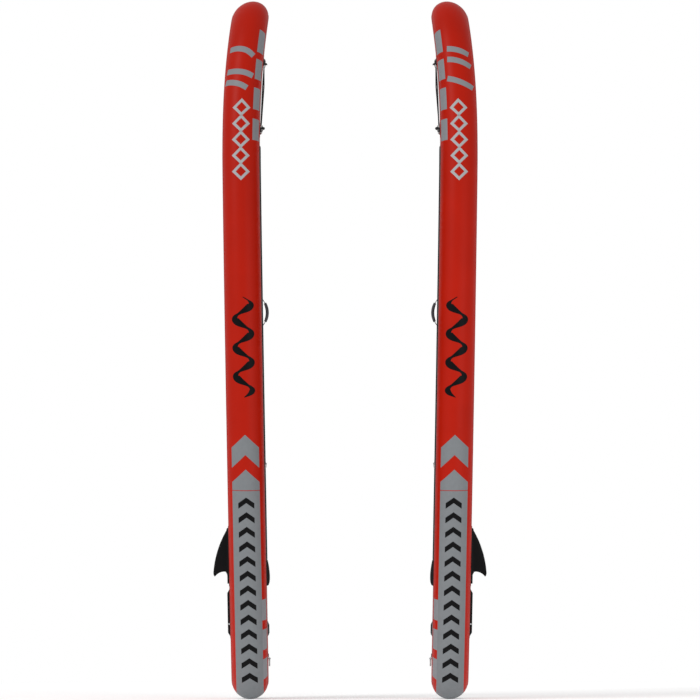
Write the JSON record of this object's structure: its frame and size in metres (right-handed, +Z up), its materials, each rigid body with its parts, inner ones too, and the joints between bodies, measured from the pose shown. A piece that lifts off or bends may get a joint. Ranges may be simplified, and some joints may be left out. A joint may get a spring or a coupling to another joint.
{
  "type": "inflatable paddleboard pair",
  "caption": "Pair of inflatable stand-up paddleboards standing on their tails, with turned-up noses, deck pads, carry handles, bungee lacing and side fins.",
  "frame": {"origin": "the floor point midway between the two boards, under the centre of the whole box", "axes": "+Z up along the boards from tail to nose, +X from the left board to the right board, both decks facing the middle, +Y away from the viewer"},
  "size_m": [1.1346, 0.762, 2.9],
  "materials": {
    "hull_red": "coated fabric, satin, with grey bands",
    "tape_red": "coated fabric tape, satin",
    "patch_red": "coated fabric patch, satin",
    "thread_white": "polyester thread",
    "foam_dark": "closed-cell foam, matte, embossed",
    "elastic_black": "braided elastic cord",
    "steel": "polished stainless wire",
    "webbing_black": "woven webbing",
    "grip_grey": "padded sleeve of stretch fabric",
    "valve_grey": "moulded",
    "seal_black": "soft rubber",
    "stem_pale": "moulded",
    "cap_black": "moulded",
    "fin_black": "moulded, semi-gloss"
  },
  "bodies": {
    "left_board": {"left_deck_skin": "hull_red", "left_bottom_skin": "hull_red", "left_rail_wall": "hull_red", "left_drop_stitch_threads": "thread_white", "left_deck_seam_tape": "tape_red", "left_bottom_seam_tape": "tape_red", "left_deck_pad": "foam_dark", "left_kick_pad": "foam_dark", "left_bungee_cord": "elastic_black", "left_bungee_patches": "patch_red", "left_bungee_rings": "steel", "left_handle_patches": "patch_red", "left_handle_strap": "webbing_black", "left_handle_grip": "grip_grey", "left_seat_ring_patches": "patch_red", "left_leash_patch": "patch_red", "left_valve_body": "valve_grey", "left_valve_gasket": "seal_black", "left_valve_nut": "valve_grey", "left_valve_spring": "steel", "left_valve_cap_tether": "seal_black", "left_fin_box": "fin_black", "left_fin_bases": "fin_black"},
    "left_seat_ring_port": {"left_seat_ring_port": "steel"},
    "left_seat_ring_starboard": {"left_seat_ring_starboard": "steel"},
    "left_leash_ring": {"left_leash_ring": "steel"},
    "left_valve_stem": {"left_valve_stem": "stem_pale"},
    "left_valve_cap": {"left_valve_cap": "cap_black"},
    "left_fin_port": {"left_fin_port": "fin_black"},
    "left_fin_starboard": {"left_fin_starboard": "fin_black"},
    "right_board": {"right_deck_skin": "hull_red", "right_bottom_skin": "hull_red", "right_rail_wall": "hull_red", "right_drop_stitch_threads": "thread_white", "right_deck_seam_tape": "tape_red", "right_bottom_seam_tape": "tape_red", "right_deck_pad": "foam_dark", "right_kick_pad": "foam_dark", "right_bungee_cord": "elastic_black", "right_bungee_patches": "patch_red", "right_bungee_rings": "steel", "right_handle_patches": "patch_red", "right_handle_strap": "webbing_black", "right_handle_grip": "grip_grey", "right_seat_ring_patches": "patch_red", "right_leash_patch": "patch_red", "right_valve_body": "valve_grey", "right_valve_gasket": "seal_black", "right_valve_nut": "valve_grey", "right_valve_spring": "steel", "right_valve_cap_tether": "seal_black", "right_fin_box": "fin_black", "right_fin_bases": "fin_black"},
    "right_seat_ring_port": {"right_seat_ring_port": "steel"},
    "right_seat_ring_starboard": {"right_seat_ring_starboard": "steel"},
    "right_leash_ring": {"right_leash_ring": "steel"},
    "right_valve_stem": {"right_valve_stem": "stem_pale"},
    "right_valve_cap": {"right_valve_cap": "cap_black"},
    "right_fin_port": {"right_fin_port": "fin_black"},
    "right_fin_starboard": {"right_fin_starboard": "fin_black"}
  },
  "joints": [
    {"name": "right_board_slide", "type": "slide", "parent": "left_board", "child": "right_board", "axis": [1, 0, 0], "range_m": [-0.3, 0.3]},
    {"name": "left_seat_ring_port_flip", "type": "hinge", "parent": "left_board", "child": "left_seat_ring_port", "pos_m": [-0.3508, -0.205, 0.97611], "axis": [0, -1, 0], "range_deg": [0, 175]},
    {"name": "left_seat_ring_starboard_flip", "type": "hinge", "parent": "left_board", "child": "left_seat_ring_starboard", "pos_m": [-0.3508, 0.205, 0.97611], "axis": [0, -1, 0], "range_deg": [0, 175]},
    {"name": "left_leash_ring_flip", "type": "hinge", "parent": "left_board", "child": "left_leash_ring", "pos_m": [-0.33489, 0, 0.16613], "axis": [0, -1, 0], "range_deg": [0, 175]},
    {"name": "left_valve_stem_push", "type": "slide", "parent": "left_board", "child": "left_valve_stem", "axis": [-0.9998, 0, -0.0195], "range_m": [0, 0.005], "stiffness_N_per_m": 400, "springref_m": -0.002, "deforming": ["left_valve_spring"]},
    {"name": "left_valve_cap_turn", "type": "hinge", "parent": "left_board", "child": "left_valve_cap", "pos_m": [-0.34072, 0, 0.29006], "axis": [0.9998, 0, 0.0195], "range_deg": [0, 90]},
    {"name": "left_fin_port_flex", "type": "hinge", "parent": "left_board", "child": "left_fin_port", "pos_m": [-0.50758, -0.17, 0.59389], "axis": [-0.0189, 0, 0.9998], "range_deg": [-15, 15], "stiffness_Nm_per_rad": 3},
    {"name": "left_fin_starboard_flex", "type": "hinge", "parent": "left_board", "child": "left_fin_starboard", "pos_m": [-0.50758, 0.17, 0.59389], "axis": [-0.0189, 0, 0.9998], "range_deg": [-15, 15], "stiffness_Nm_per_rad": 3},
    {"name": "right_seat_ring_port_flip", "type": "hinge", "parent": "right_board", "child": "right_seat_ring_port", "pos_m": [0.3508, 0.205, 0.97611], "axis": [0, 1, 0], "range_deg": [0, 175]},
    {"name": "right_seat_ring_starboard_flip", "type": "hinge", "parent": "right_board", "child": "right_seat_ring_starboard", "pos_m": [0.3508, -0.205, 0.97611], "axis": [0, 1, 0], "range_deg": [0, 175]},
    {"name": "right_leash_ring_flip", "type": "hinge", "parent": "right_board", "child": "right_leash_ring", "pos_m": [0.33489, 0, 0.16613], "axis": [0, 1, 0], "range_deg": [0, 175]},
    {"name": "right_valve_stem_push", "type": "slide", "parent": "right_board", "child": "right_valve_stem", "axis": [0.9998, 0, -0.0195], "range_m": [0, 0.005], "stiffness_N_per_m": 400, "springref_m": -0.002, "deforming": ["right_valve_spring"]},
    {"name": "right_valve_cap_turn", "type": "hinge", "parent": "right_board", "child": "right_valve_cap", "pos_m": [0.34072, 0, 0.29006], "axis": [-0.9998, 0, 0.0195], "range_deg": [0, 90]},
    {"name": "right_fin_port_flex", "type": "hinge", "parent": "right_board", "child": "right_fin_port", "pos_m": [0.50758, 0.17, 0.59389], "axis": [0.0189, 0, 0.9998], "range_deg": [-15, 15], "stiffness_Nm_per_rad": 3},
    {"name": "right_fin_starboard_flex", "type": "hinge", "parent": "right_board", "child": "right_fin_starboard", "pos_m": [0.50758, -0.17, 0.59389], "axis": [0.0189, 0, 0.9998], "range_deg": [-15, 15], "stiffness_Nm_per_rad": 3}
  ]
}
